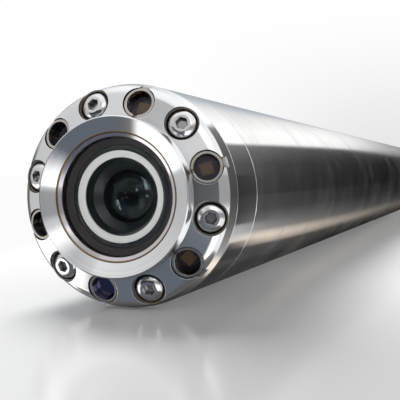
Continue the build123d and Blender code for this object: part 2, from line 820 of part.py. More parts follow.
# Chassis rails: two bars between the bulkheads, one node
rail_start_s = camera_body_rear_s + bulkhead_thickness
rail_end_s = sub_front_s - bulkhead_thickness
with BuildPart() as chassis_rails:
    with BuildSketch(cross_plane(rail_start_s)):
        with Locations((rail_offset + rail_width / 2, 0), (-rail_offset - rail_width / 2, 0)):
            Rectangle(rail_width, rail_height)
    extrude(amount=rail_end_s - rail_start_s)
chassis_rails.part.label = "chassis_rails"
export_step(chassis_rails.part, "parts/chassis_rails.step")

# Video board: a long board between the rails with a row of flat chips
with BuildPart() as video_board:
    with BuildSketch(cross_plane(video_board_start_s)):
        Rectangle(2 * rail_offset, board_thickness)
    extrude(amount=video_board_length)
    chip_s = video_board_start_s + board_chip_pitch / 2
    while chip_s < video_board_start_s + video_board_length:
        with BuildSketch(Plane.XY.offset(board_thickness / 2)):
            with Locations((0, at(chip_s))):
                Rectangle(board_chip_size, board_chip_size)
        extrude(amount=board_chip_height)
        chip_s = chip_s + board_chip_pitch
video_board.part.label = "video_board"
export_step(video_board.part, "parts/video_board.step")

# Power board: a long board between the rails with a row of round coils
with BuildPart() as power_board:
    with BuildSketch(cross_plane(power_board_start_s)):
        Rectangle(2 * rail_offset, board_thickness)
    extrude(amount=power_board_length)
    coil_s = power_board_start_s + coil_pitch / 2
    while coil_s < power_board_start_s + power_board_length:
        with BuildSketch(Plane.XY.offset(board_thickness / 2)):
            with Locations((0, at(coil_s))):
                Circle(coil_radius)
        extrude(amount=coil_height)
        coil_s = coil_s + coil_pitch
power_board.part.label = "power_board"
export_step(power_board.part, "parts/power_board.step")

# Tail sub: spigot for the tube, spanner flats, and the threaded box for the cable head
box_bottom_s = tool_length - box_thread_length
seal_bottom_s = box_bottom_s - seal_bore_length
insulator_front_s = seal_bottom_s - insulator_length
with BuildPart() as tail_sub:
    with BuildSketch(Plane.XY):
        with BuildLine():
            Polyline(
                (sub_wire_bore_radius, at(sub_front_s)),
                (tube_bore_radius, at(sub_front_s)),
                (tube_bore_radius, at(tube_rear_s)),
                (tool_radius - tube_front_chamfer, at(tube_rear_s)),
                (tool_radius, at(tube_rear_s + tube_front_chamfer)),
                (tool_radius, at(tool_length - sub_end_chamfer)),
                (tool_radius - sub_end_chamfer, at(tool_length)),
                (box_thread_radius, at(tool_length)),
                (box_thread_radius, at(box_bottom_s)),
                (seal_bore_radius, at(box_bottom_s)),
                (seal_bore_radius, at(seal_bottom_s)),
                (insulator_radius, at(seal_bottom_s)),
                (insulator_radius, at(insulator_front_s)),
                (sub_wire_bore_radius, at(insulator_front_s)),
                close=True,
            )
        make_face()
    revolve(axis=Axis.Y)
    for groove_s in (sub_seal_first_s, sub_seal_second_s):
        with BuildSketch(cross_plane(groove_s - tube_seal_groove_width / 2)):
            Circle(tube_bore_radius + cut_over)
            Circle(tube_groove_inner, mode=Mode.SUBTRACT)
        extrude(amount=tube_seal_groove_width, mode=Mode.SUBTRACT)
    for angle in set_screw_angles:
        with BuildSketch(radial_plane(angle, set_screw_s, set_screw_inner_radius)):
            Circle(set_screw_radius)
        extrude(amount=tool_radius, mode=Mode.SUBTRACT)
    with BuildSketch(cross_plane(flat_start_s)):
        with Locations((flat_across / 2 + tool_radius / 2, 0), (-flat_across / 2 - tool_radius / 2, 0)):
            Rectangle(tool_radius, 2 * tool_radius)
    extrude(amount=flat_length, mode=Mode.SUBTRACT)
tail_sub.part.label = "tail_sub"
export_step(tail_sub.part, "parts/tail_sub.step")

# Tail seals: two alike, one node
tail_seals = Compound(
    label="tail_seals",
    children=[
        seal_ring(tube_bore_radius - tube_seal_section / 2, station, tube_seal_section)
        for station in (sub_seal_first_s, sub_seal_second_s)
    ],
)
export_step(tail_seals, "parts/tail_seals.step")

# Set screws: three alike, one node
with BuildPart() as set_screws:
    for angle in set_screw_angles:
        with BuildSketch(radial_plane(angle, set_screw_s, set_screw_inner_radius)):
            Circle(set_screw_radius)
        extrude(amount=set_screw_outer_radius - set_screw_inner_radius)
    for angle in set_screw_angles:
        with BuildSketch(radial_plane(angle, set_screw_s, set_screw_outer_radius)):
            RegularPolygon(set_screw_hex_across_flats / 2, 6, major_radius=False)
        extrude(amount=-set_screw_hex_depth, mode=Mode.SUBTRACT)
set_screws.part.label = "set_screws"
export_step(set_screws.part, "parts/set_screws.step")

# Contact insulator: the block that carries the tail contact
with BuildPart() as contact_insulator:
    with BuildSketch(cross_plane(insulator_front_s)):
        Circle(insulator_radius)
        Circle(contact_radius, mode=Mode.SUBTRACT)
    extrude(amount=insulator_length)
contact_insulator.part.label = "contact_insulator"
export_step(contact_insulator.part, "parts/contact_insulator.step")

# Contact socket: the brass socket in the insulator, with its tail toward the boards
with BuildPart() as contact_socket:
    with BuildSketch(cross_plane(insulator_front_s - contact_tail_length)):
        Circle(contact_radius)
    extrude(amount=insulator_length + contact_tail_length)
    with BuildSketch(cross_plane(seal_bottom_s)):
        Circle(contact_bore_radius)
    extrude(amount=-contact_bore_depth, mode=Mode.SUBTRACT)
contact_socket.part.label = "contact_socket"
export_step(contact_socket.part, "parts/contact_socket.step")
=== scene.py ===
import math

import bpy
from mathutils import Matrix, Vector


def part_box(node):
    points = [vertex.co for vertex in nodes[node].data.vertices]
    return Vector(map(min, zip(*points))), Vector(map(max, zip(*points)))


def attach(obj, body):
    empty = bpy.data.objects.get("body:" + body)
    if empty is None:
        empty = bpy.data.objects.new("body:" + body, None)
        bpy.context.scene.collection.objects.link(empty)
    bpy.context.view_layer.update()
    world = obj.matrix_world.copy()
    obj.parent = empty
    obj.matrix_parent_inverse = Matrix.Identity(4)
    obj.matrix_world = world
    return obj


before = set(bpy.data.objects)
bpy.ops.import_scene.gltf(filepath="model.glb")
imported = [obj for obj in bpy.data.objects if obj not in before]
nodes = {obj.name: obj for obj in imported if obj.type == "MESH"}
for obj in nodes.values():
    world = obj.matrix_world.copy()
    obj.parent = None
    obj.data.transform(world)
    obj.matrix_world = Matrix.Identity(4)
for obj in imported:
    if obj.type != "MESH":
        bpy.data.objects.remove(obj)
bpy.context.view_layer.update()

# Sizes in metres, in the frame of the CAD model
MM = 0.001
TOOL_LENGTH = 760.0 * MM
TOOL_RADIUS = 25.0 * MM
FLOOR_Z = -TOOL_RADIUS
FULL_TURN = 2 * math.pi
DEGREES = 180.0 / math.pi

# Camera of the photograph
CAMERA_PLACE = (0.07743, -0.9260, 0.00548)
CAMERA_FORWARD = (-0.3268, 0.9447, -0.0332)
CAMERA_RIGHT = (0.94505, 0.32692, 0.0)
CAMERA_LENS = 77.04
CAMERA_SENSOR = 36.0
CLIP_NEAR = 0.01
CLIP_FAR = 50.0


def linear(level):
    """One sRGB channel from 0 to 255 as linear light."""
    part = level / 255.0
    if part <= 0.04045:
        return part / 12.92
    return ((part + 0.055) / 1.055) ** 2.4


def srgb(red, green, blue):
    """A colour from sRGB channels from 0 to 255."""
    return (linear(red), linear(green), linear(blue), 1.0)


def grey(level):
    """A neutral colour of that linear level."""
    return (level, level, level, 1.0)


# Shader nodes


def feed(tree, socket, value):
    """Links or sets one input."""
    if isinstance(value, bpy.types.NodeSocket):
        tree.links.new(value, socket)
    else:
        socket.default_value = value


def make(tree, kind, inputs=None, **settings):
    """A node with its settings and inputs in place."""
    node = tree.nodes.new(kind)
    for name, value in settings.items():
        setattr(node, name, value)
    for name, value in (inputs or {}).items():
        feed(tree, node.inputs[name], value)
    return node


def calc(tree, operation, first, second=0.0):
    """The result of one math node."""
    node = make(tree, "ShaderNodeMath", {0: first, 1: second}, operation=operation)
    return node.outputs[0]


def product(tree, first, second):
    """Two values multiplied."""
    return calc(tree, "MULTIPLY", first, second)


def distance(tree, first, second):
    """The length of the line that goes one value one way and the other square to it."""
    squares = calc(tree, "ADD", product(tree, first, first), product(tree, second, second))
    return calc(tree, "POWER", squares, 0.5)


def vector_calc(tree, operation, first, second=(0.0, 0.0, 0.0)):
    """The result of one vector math node."""
    node = make(tree, "ShaderNodeVectorMath", {0: first, 1: second}, operation=operation)
    return node.outputs[0]


def dimmed(tree, colour, level):
    """A colour times a level that changes over the surface."""
    inputs = {0: colour, "Scale": level}
    return make(tree, "ShaderNodeVectorMath", inputs, operation="SCALE").outputs[0]


def remap(tree, value, low, high, start=0.0, end=1.0, kind="SMOOTHSTEP"):
    """value carried from low..high to start..end, held at both ends."""
    ends = {"From Min": low, "From Max": high, "To Min": start, "To Max": end}
    node = make(tree, "ShaderNodeMapRange", {"Value": value, **ends}, interpolation_type=kind)
    return node.outputs[0]


def ramp(tree, factor, stops):
    """A colour ramp through stops of (place, colour)."""
    node = make(tree, "ShaderNodeValToRGB", {0: factor})
    band = node.color_ramp
    band.interpolation = "LINEAR"
    band.elements[0].position = stops[0][0]
    band.elements[0].color = stops[0][1]
    band.elements[1].position = stops[-1][0]
    band.elements[1].color = stops[-1][1]
    for place, colour in stops[1:-1]:
        band.elements.new(place).color = colour
    return node.outputs[0]


def mix(tree, factor, first, second, kind="MIX"):
    """Two colours mixed."""
    inputs = {0: factor, 6: first, 7: second}
    return make(tree, "ShaderNodeMix", inputs, data_type="RGBA", blend_type=kind).outputs[2]


def blend(tree, share, first, second):
    """Two shaders mixed, with that share of the second."""
    return make(tree, "ShaderNodeMixShader", {0: share, 1: first, 2: second}).outputs[0]


def noise(tree, vector, size, detail=2.0, roughness=0.5):
    """The value of a noise texture whose patches have about that size."""
    inputs = {"Vector": vector, "Scale": 1.0 / size, "Detail": detail, "Roughness": roughness}
    return make(tree, "ShaderNodeTexNoise", inputs).outputs[0]


def join(tree, x, y, z):
    """A vector from three values."""
    return make(tree, "ShaderNodeCombineXYZ", {0: x, 1: y, 2: z}).outputs[0]


def position(tree):
    """The point on the piece, in metres."""
    return make(tree, "ShaderNodeTexCoord").outputs["Object"]


def split(tree, vector):
    """The three values of a vector."""
    return make(tree, "ShaderNodeSeparateXYZ", {0: vector}).outputs[:]


def turned_place(tree):
    """(radius, station, angle as a fraction of a turn) about the tool's own axis."""
    x, y, z = split(tree, position(tree))
    angle = calc(tree, "DIVIDE", calc(tree, "ARCTAN2", z, x), FULL_TURN)
    return distance(tree, x, z), y, angle


def blank_material(name):
    """A new material with an empty node tree."""
    material = bpy.data.materials.new(name)
    material.use_nodes = True
    material.node_tree.nodes.clear()
    return material, material.node_tree


def show(tree, shader):
    """Carries a shader to the material's output."""
    make(tree, "ShaderNodeOutputMaterial", {"Surface": shader})


def principled(tree, inputs):
    """A Principled shader's output."""
    return make(tree, "ShaderNodeBsdfPrincipled", inputs).outputs[0]


def bumped(tree, height, depth, **more):
    """The surface direction over a relief of that depth."""
    inputs = {"Height": height, "Strength": 1.0, "Distance": depth, **more}
    return make(tree, "ShaderNodeBump", inputs).outputs[0]


def rounded(tree, radius):
    """The surface direction with its edges rounded."""
    return make(tree, "ShaderNodeBevel", {"Radius": radius}, samples=4).outputs[0]


# Materials

# Most of a noise texture lies between these two values
NOISE_SPAN = (0.3, 0.7)
LINE_SPAN = (0.35, 0.65)
SMUDGE_SPAN = (0.35, 0.7)
CREVICE_SPAN = (0.25, 0.85)
STEEL_EDGE = 0.12 * MM
STEEL_CREVICE = 2.0 * MM
COARSE_LINES = 6
FINE_DRIFT = 0.4
COARSE_DRIFT = 0.8
RING_DRIFT = 0.2
SMUDGE_SIZE = 14 * MM
SMUDGE_SHADE = 0.5
SMUDGE_ROUGHENING = 2
FILM_ARCS = 16 * MM
FILM_DRIFT = 1.2
FILM_ARC_SPAN = (0.42, 0.62)
FILM_ARC_LEAST = 0.25
FILM_PATCHES = 26 * MM
FILM_PATCH_LEAST = 0.3
FILM_ROUGHNESS = 0.5
METAL_GRAIN = 0.3 * MM
METAL_GRAIN_DEPTH = 0.002 * MM
METAL_PATCH = 4 * MM
METAL_PATCH_LEVEL = 0.88
GLASS_HAZE = 3 * MM
GLASS_ROUGHNESS = 0.02
GROUND_BLEND = 0.02 * MM
GROUND_LEVEL = 0.95


def turned_lines(tree, pitch, drift):
    """Noise that runs round the axis like the marks of a lathe tool."""
    radius, station, angle = turned_place(tree)
    across = calc(tree, "DIVIDE", radius, pitch)
    along = calc(tree, "DIVIDE", station, pitch)
    around = product(tree, calc(tree, "SINE", product(tree, angle, FULL_TURN)), drift)
    return noise(tree, join(tree, across, along, around), 1.0, detail=3.0, roughness=0.6)


def across_the_lines(tree):
    """The surface direction square to lathe marks about the tool's axis."""
    x, y, z = split(tree, position(tree))
    round_axis = join(tree, z, 0.0, product(tree, x, -1.0))
    normal = make(tree, "ShaderNodeNewGeometry").outputs["Normal"]
    crossed = vector_calc(tree, "CROSS_PRODUCT", normal, round_axis)
    return vector_calc(tree, "NORMALIZE", crossed)


def crevice(tree, reach, darkest):
    """1 on open faces, falling to darkest in hollows: painted shade, with some dirt."""
    hidden = make(tree, "ShaderNodeAmbientOcclusion", {"Distance": reach}, samples=8)
    return remap(tree, hidden.outputs["AO"], *CREVICE_SPAN, darkest, 1.0)


def steel(
    name, colour, roughness, stretch, pitch, line_depth, line_shade, smudge, dirt=1.0, film=0.0
):
    """Lathe-turned stainless steel; film is the share of the surface that handling has dulled."""
    material, tree = blank_material(name)
    fine = turned_lines(tree, pitch, FINE_DRIFT)
    coarse = turned_lines(tree, pitch * COARSE_LINES, COARSE_DRIFT)
    lines = product(tree, calc(tree, "ADD", fine, coarse), 0.5)
    patch = noise(tree, position(tree), SMUDGE_SIZE, detail=4.0, roughness=0.55)
    smudges = remap(tree, patch, *SMUDGE_SPAN)
    shade = remap(tree, lines, *LINE_SPAN, 1.0 - line_shade, 1.0, "LINEAR")
    dulled = remap(tree, smudges, 0.0, 1.0, 1.0, 1.0 - smudge * SMUDGE_SHADE, "LINEAR")
    level = product(tree, shade, dulled)
    # Darkens the colour in hollows and pockets: painted shade, with some dirt
    if dirt < 1.0:
        level = product(tree, level, crevice(tree, STEEL_CREVICE, dirt))
    tinted = dimmed(tree, colour, level)
    bump = bumped(tree, lines, line_depth, Normal=rounded(tree, STEEL_EDGE))
    roughest = roughness * (1.0 + smudge * SMUDGE_ROUGHENING)
    rough = remap(tree, smudges, 0.0, 1.0, roughness, roughest, "LINEAR")
    shader = principled(
        tree,
        {
            "Base Color": tinted,
            "Metallic": 1.0,
            "Roughness": rough,
            "Anisotropic": stretch,
            "Tangent": across_the_lines(tree),
            "Normal": bump,
        },
    )
    if film > 0.0:
        shader = filmed(tree, shader, tinted, bump, film)
    show(tree, shader)
    return material


def filmed(tree, shader, colour, normal, share):
    """The shader with a dull film in arcs round the tube, like the marks of a wiping cloth."""
    streaks = turned_lines(tree, FILM_ARCS, FILM_DRIFT)
    arcs = remap(tree, streaks, *FILM_ARC_SPAN, FILM_ARC_LEAST, 1.0)
    patch = noise(tree, position(tree), FILM_PATCHES, detail=3.0, roughness=0.6)
    patches = remap(tree, patch, *LINE_SPAN, FILM_PATCH_LEAST, 1.0)
    film = product(tree, product(tree, arcs, patches), share)
    inputs = {"Base Color": colour, "Metallic": 1.0, "Roughness": FILM_ROUGHNESS, "Normal": normal}
    return blend(tree, film, shader, principled(tree, inputs))


def varied(tree, pattern, value, least, most):
    """A value that a pattern moves from least to most times itself."""
    return remap(tree, pattern, *NOISE_SPAN, value * least, value * most, "LINEAR")


def plain_metal(name, colour, roughness, edge=0.1 * MM, dirt=1.0, reach=1.0 * MM):
    """Metal with a fine even grain, for small parts."""
    material, tree = blank_material(name)
    grains = noise(tree, position(tree), METAL_GRAIN, detail=3.0, roughness=0.6)
    patch = noise(tree, position(tree), METAL_PATCH)
    shade = remap(tree, patch, *NOISE_SPAN, METAL_PATCH_LEVEL, 1.0, "LINEAR")
    # Darkens the colour in hollows and sockets: painted shade, with some dirt
    if dirt < 1.0:
        shade = product(tree, shade, crevice(tree, reach, dirt))
    tinted = dimmed(tree, colour, shade)
    bump = bumped(tree, grains, METAL_GRAIN_DEPTH, Normal=rounded(tree, edge))
    rough = varied(tree, grains, roughness, 0.85, 1.2)
    inputs = {"Base Color": tinted, "Metallic": 1.0, "Roughness": rough, "Normal": bump}
    show(tree, principled(tree, inputs))
    return material


def two_tone(tree, pattern, share, first, second, roughness, depth):
    """Shows a surface that a pattern moves between two close colours."""
    colour = mix(tree, share, first, second)
    bump = bumped(tree, pattern, depth)
    rough = varied(tree, pattern, roughness, 0.9, 1.1)
    show(tree, principled(tree, {"Base Color": colour, "Roughness": rough, "Normal": bump}))


def matte(name, first, second, roughness, grain, depth=0.01 * MM):
    """Plastic, rubber or board, mottled between two close colours."""
    material, tree = blank_material(name)
    mottle = noise(tree, position(tree), grain, detail=3.0, roughness=0.6)
    share = remap(tree, mottle, *NOISE_SPAN)
    two_tone(tree, mottle, share, first, second, roughness, depth)
    return material


def ringed(name, first, second, roughness, pitch, depth):
    """Anodised or plastic turnings with fine rings round the axis."""
    material, tree = blank_material(name)
    lines = turned_lines(tree, pitch, RING_DRIFT)
    share = remap(tree, lines, *LINE_SPAN)
    two_tone(tree, lines, share, first, second, roughness, depth)
    return material


def hazy(tree, tint):
    """A tint and a roughness that a faint haze on the glass changes."""
    haze = noise(tree, position(tree), GLASS_HAZE)
    rough = remap(tree, haze, *NOISE_SPAN, 0.0, GLASS_ROUGHNESS, "LINEAR")
    return mix(tree, haze, tint, grey(1.0)), rough


def glass(name, tint, ior, coating, ground_from=None):
    """Coated clear glass that lets light through; a disc's rim past ground_from is ground matt."""
    material, tree = blank_material(name)
    colour, rough = hazy(tree, tint)
    shader = principled(
        tree,
        {
            "Base Color": colour,
            "Roughness": rough,
            "IOR": ior,
            "Transmission Weight": 1.0,
            "Specular Tint": coating,
        },
    )
    if ground_from is not None:
        radius = turned_place(tree)[0]
        rim = remap(tree, radius, ground_from - GROUND_BLEND, ground_from, kind="LINEAR")
        ground = make(tree, "ShaderNodeBsdfTransparent", {0: grey(GROUND_LEVEL)}).outputs[0]
        shader = blend(tree, rim, shader, ground)
    path = make(tree, "ShaderNodeLightPath").outputs
    passing = calc(tree, "MAXIMUM", path["Is Shadow Ray"], path["Is Diffuse Ray"])
    open_air = make(tree, "ShaderNodeBsdfTransparent", {0: tint}).outputs[0]
    show(tree, blend(tree, passing, shader, open_air))
    return material


def thin_glass(name, tint, ior, coating):
    """A thin coated pane: what is behind it shows straight through, and its faces mirror faintly."""
    material, tree = blank_material(name)
    colour, rough = hazy(tree, tint)
    clear = make(tree, "ShaderNodeBsdfTransparent", {"Color": colour}).outputs[0]
    mirror = make(tree, "ShaderNodeBsdfGlossy", {"Color": coating, "Roughness": rough}).outputs[0]
    share = make(tree, "ShaderNodeFresnel", {"IOR": ior}).outputs[0]
    show(tree, blend(tree, share, clear, mirror))
    return material


FINISHES = {}


def add_finish(maker, name, *colours, **settings):
    """Makes one finish and keeps it under its name."""
    FINISHES[name] = maker(name, *colours, **settings)


add_finish(
    steel,
    "tube_steel",
    (0.68, 0.67, 0.66),
    roughness=0.085,
    stretch=0.5,
    pitch=0.3 * MM,
    line_depth=0.0003 * MM,
    line_shade=0.10,
    smudge=0.15,
    film=0.22,
)
add_finish(
    steel,
    "collar_steel",
    (0.70, 0.70, 0.71),
    roughness=0.07,
    stretch=0.5,
    pitch=0.25 * MM,
    line_depth=0.0003 * MM,
    line_shade=0.06,
    smudge=0.1,
)
add_finish(
    steel,
    "head_steel",
    (0.72, 0.73, 0.74),
    roughness=0.12,
    stretch=0.6,
    pitch=0.25 * MM,
    line_depth=0.0008 * MM,
    line_shade=0.06,
    smudge=0.1,
    dirt=0.45,
)
add_finish(
    steel,
    "tail_steel",
    (0.66, 0.65, 0.64),
    roughness=0.16,
    stretch=0.6,
    pitch=0.3 * MM,
    line_depth=0.001 * MM,
    line_shade=0.10,
    smudge=0.2,
)
add_finish(
    steel,
    "bezel_steel",
    (0.74, 0.75, 0.76),
    roughness=0.13,
    stretch=0.9,
    pitch=0.22 * MM,
    line_depth=0.002 * MM,
    line_shade=0.09,
    smudge=0.05,
)
add_finish(
    steel,
    "ring_steel",
    (0.61, 0.58, 0.61),
    roughness=0.12,
    stretch=0.6,
    pitch=0.2 * MM,
    line_depth=0.001 * MM,
    line_shade=0.06,
    smudge=0.1,
)
add_finish(
    plain_metal, "screw_steel", (0.68, 0.67, 0.67), roughness=0.14, dirt=0.18, reach=1.8 * MM
)
add_finish(
    plain_metal,
    "retainer_steel",
    (0.52, 0.48, 0.45),
    roughness=0.14,
    edge=0.16 * MM,
    dirt=0.12,
    reach=1.4 * MM,
)
add_finish(plain_metal, "inner_aluminium", (0.78, 0.79, 0.80), roughness=0.35)
add_finish(plain_metal, "contact_brass", (0.80, 0.62, 0.30), roughness=0.22)
add_finish(plain_metal, "bead_amber", (0.27, 0.18, 0.10), roughness=0.3)
add_finish(
    ringed,
    "baffle_black",
    srgb(46, 39, 39),
    srgb(56, 48, 47),
    roughness=0.55,
    pitch=0.3 * MM,
    depth=0.004 * MM,
)
add_finish(
    ringed,
    "barrel_black",
    srgb(32, 39, 43),
    srgb(42, 50, 55),
    roughness=0.35,
    pitch=0.25 * MM,
    depth=0.004 * MM,
)
add_finish(
    ringed,
    "trim_pale",
    srgb(226, 227, 224),
    srgb(238, 238, 236),
    roughness=0.3,
    pitch=0.3 * MM,
    depth=0.002 * MM,
)
add_finish(
    ringed,
    "hood_black",
    srgb(19, 26, 29),
    srgb(26, 34, 37),
    roughness=0.34,
    pitch=0.25 * MM,
    depth=0.0015 * MM,
)
add_finish(matte, "seal_rubber", srgb(22, 22, 23), srgb(34, 33, 33), roughness=0.6, grain=0.5 * MM)
add_finish(
    matte,
    "cup_black",
    srgb(24, 21, 19),
    srgb(34, 30, 27),
    roughness=0.32,
    grain=0.5 * MM,
    depth=0.0005 * MM,
)
add_finish(matte, "chip_amber", srgb(116, 84, 42), srgb(144, 108, 60), roughness=0.35, grain=0.35 * MM)
add_finish(matte, "lamp_board_dark", srgb(38, 36, 34), srgb(54, 50, 46), roughness=0.4, grain=0.5 * MM)
add_finish(matte, "board_green", srgb(20, 84, 52), srgb(28, 100, 62), roughness=0.4, grain=0.8 * MM)
add_finish(
    matte, "insulator_plastic", srgb(222, 214, 196), srgb(234, 228, 212), roughness=0.4, grain=1.0 * MM
)
add_finish(matte, "sealant_brown", srgb(88, 80, 72), srgb(108, 100, 92), roughness=0.4, grain=0.4 * MM)
add_finish(
    glass,
    "window_glass",
    (0.97, 0.985, 0.98, 1.0),
    ior=1.5,
    coating=(0.3, 0.3, 0.35, 1.0),
    ground_from=13.08 * MM,
)
add_finish(glass, "lens_glass", (0.40, 0.46, 0.47, 1.0), ior=1.6, coating=(0.17, 0.21, 0.23, 1.0))
add_finish(thin_glass, "lamp_glass", (0.80, 0.77, 0.74, 1.0), ior=1.5, coating=(0.45, 0.42, 0.5, 1.0))
add_finish(
    thin_glass, "lamp_glass_blue", (0.70, 0.70, 0.80, 1.0), ior=2.3, coating=(0.45, 0.45, 1.0, 1.0)
)

# Finishes that no material slot of the record has
BLUE_LAMP_WINDOW = "lamp_window_5"


def dress(node):
    """Gives one CAD node the finish of its material slot."""
    for place in node.material_slots:
        place.material = FINISHES[place.material.name.split(".")[0]]


for node in nodes.values():
    dress(node)
for place in nodes[BLUE_LAMP_WINDOW].material_slots:
    place.material = FINISHES["lamp_glass_blue"]


# Added pieces

SHARP_EDGE = math.radians(35)


def mesh_piece(name, vertices, faces, finish):
    """A mesh that belongs to the tool, smooth apart from its sharp edges."""
    mesh = bpy.data.meshes.new(name)
    mesh.from_pydata(vertices, [], faces)
    mesh.validate()
    for face in mesh.polygons:
        face.use_smooth = True
    mesh.set_sharp_from_angle(angle=SHARP_EDGE)
    piece = bpy.data.objects.new(name, mesh)
    bpy.context.scene.collection.objects.link(piece)
    mesh.materials.append(FINISHES[finish])
    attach(piece, "root")


def on_tool(radius, angle, station):
    """The point at a radius, an angle in radians and a station from the front, all in metres."""
    return (radius * math.cos(angle), station - TOOL_LENGTH, radius * math.sin(angle))


def skin(corners, sections, closed=True):
    """The faces that join each section of an outline to the next; closed joins the ends too."""
    faces = []
    for section in range(sections if closed else sections - 1):
        here = section * corners
        after = (section + 1) % sections * corners
        for corner in range(corners):
            beyond = (corner + 1) % corners
            faces.append((here + corner, after + corner, after + beyond, here + beyond))
    return faces


BEAD_RADIUS = 14.10 * MM
BEAD_STATION = 1.93 * MM
BEAD_SECTION = 0.26 * MM
BEAD_CORNERS = 12
BEAD_STEPS = 192


def bezel_bead():
    """The thin bead between bezel and window ring."""
    turns = [FULL_TURN * corner / BEAD_CORNERS for corner in range(BEAD_CORNERS)]
    outline = [
        (BEAD_RADIUS + BEAD_SECTION * math.cos(turn), BEAD_STATION + BEAD_SECTION * math.sin(turn))
        for turn in turns
    ]
    vertices = []
    for step in range(BEAD_STEPS):
        angle = FULL_TURN * step / BEAD_STEPS
        vertices += [on_tool(radius, angle, station) for radius, station in outline]
    mesh_piece("bezel_bead", vertices, skin(BEAD_CORNERS, BEAD_STEPS), "bead_amber")


bezel_bead()

SHOULDER_TILT = math.radians(20)
LAMP_COUNT = 6
LAMP_FIRST_ANGLE = math.radians(18)
LAMP_GLASS_THICKNESS = 1.0 * MM
LAMP_GLASS_DEPTH = 2.10 * MM
SCREW_OFFSET = 0.30 * MM
SEALANT_INNER = 3.45 * MM
SEALANT_OUTER = 3.82 * MM
SEALANT_TOP = 0.75 * MM
SEALANT_BOTTOM = 1.20 * MM
SEALANT_STEPS = 64


def lamp_seat(number):
    """The centre of one lamp glass's front face, and the directions along, across and out of it."""
    angle = LAMP_FIRST_ANGLE + FULL_TURN * (number - 1) / LAMP_COUNT
    outward = Vector((math.cos(angle), 0.0, math.sin(angle)))
    back = Vector((0.0, 1.0, 0.0))
    along = outward * math.cos(SHOULDER_TILT) + back * math.sin(SHOULDER_TILT)
    out = outward * math.sin(SHOULDER_TILT) - back * math.cos(SHOULDER_TILT)
    low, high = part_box(f"lamp_window_{number}")
    seat = (low + high) / 2 + out * LAMP_GLASS_THICKNESS / 2
    return seat, along, out.cross(along), out


def screw_seat(number):
    """A point on the shoulder over one screw, and the directions along, across and out of it."""
    seat, along, across, out = lamp_seat(number)
    angle = FULL_TURN / LAMP_COUNT / 2
    turn = Matrix.Rotation(-angle, 3, "Y")
    top = seat + out * LAMP_GLASS_DEPTH + along * SCREW_OFFSET
    return turn @ top, turn @ along, turn @ across, turn @ out


def sealant(number):
    """The thin ring of sealant in the gap round one screw head."""
    seat, along, across, out = screw_seat(number)
    outline = [
        (SEALANT_INNER, -SEALANT_BOTTOM),
        (SEALANT_OUTER, -SEALANT_BOTTOM),
        (SEALANT_OUTER, -SEALANT_TOP),
        (SEALANT_INNER, -SEALANT_TOP),
    ]
    vertices = []
    for step in range(SEALANT_STEPS):
        turn = FULL_TURN * step / SEALANT_STEPS
        for radius, height in outline:
            sideways = along * (radius * math.cos(turn)) + across * (radius * math.sin(turn))
            vertices.append(seat + (sideways + out * height))
    faces = skin(len(outline), SEALANT_STEPS)
    mesh_piece(f"screw_sealant_{number}", vertices, faces, "sealant_brown")


for number in range(1, LAMP_COUNT + 1):
    sealant(number)

THREAD_ROOT = 14.35 * MM
THREAD_CREST = 13.55 * MM
THREAD_PITCH = 2.5 * MM
THREAD_FOOT = 0.45 * THREAD_PITCH
THREAD_LAND = 0.10 * THREAD_PITCH
THREAD_START = TOOL_LENGTH - 20.5 * MM
THREAD_TURNS = 7.4
THREAD_STEPS = 72
THREAD_CORNERS = 4
# The ridge grows to its full height in a third of a turn, from this share of it
THREAD_GROWTH = 3
THREAD_LEAST = 0.02


def thread_section(turn):
    """One section of the thread, thinning out at both ends."""
    taper = min(1.0, turn * THREAD_GROWTH, (THREAD_TURNS - turn) * THREAD_GROWTH)
    crest = THREAD_ROOT - (THREAD_ROOT - THREAD_CREST) * max(taper, THREAD_LEAST)
    middle = THREAD_START + turn * THREAD_PITCH
    return [
        (THREAD_ROOT, middle - THREAD_FOOT),
        (crest, middle - THREAD_LAND),
        (crest, middle + THREAD_LAND),
        (THREAD_ROOT, middle + THREAD_FOOT),
    ]


def tail_thread():
    """The female thread of the tail, as a ridge inside the box."""
    total = int(THREAD_TURNS * THREAD_STEPS)
    vertices = []
    for step in range(total + 1):
        turn = step / THREAD_STEPS
        angle = turn * FULL_TURN
        vertices += [on_tool(radius, angle, station) for radius, station in thread_section(turn)]
    faces = skin(THREAD_CORNERS, total + 1, closed=False)
    faces.append(tuple(reversed(range(THREAD_CORNERS))))
    faces.append(tuple(total * THREAD_CORNERS + corner for corner in range(THREAD_CORNERS)))
    mesh_piece("tail_box_thread", vertices, faces, "tail_steel")


tail_thread()


# Floor, with places and reaches in metres

FLOOR_HALF = 5.0
FLOOR_PALE = grey(0.90)
FLOOR_PALER = grey(0.93)
FLOOR_CLOUD = 1.0
FLOOR_GLOSS = 0.18
FLOOR_GLOSS_ROUGHNESS = 0.15
FLOOR_FAR = grey(0.97)
FAR_REACH = (0.35, 1.1)
FAR_BESIDE = (-0.04, -0.12)
# The grey of the floor's painted shadow, and where it lies
FLOOR_SHADOW_GREY = grey(0.57)
SHADOW_SLANT = 0.35
SHADOW_ACROSS = (-0.01, 0.05)
SHADOW_AHEAD = (0.10, -0.03)
SHADOW_REACH = (0.10, 0.30)


def painted_floor_shadow(tree, x, ahead, away):
    """How much painted shadow darkens the floor: 1 ahead of the head on one side, 0 elsewhere."""
    across = calc(tree, "ADD", x, product(tree, ahead, SHADOW_SLANT))
    shadow = product(tree, remap(tree, across, *SHADOW_ACROSS), remap(tree, ahead, *SHADOW_AHEAD))
    return product(tree, shadow, remap(tree, away, *SHADOW_REACH, 1.0, 0.0))


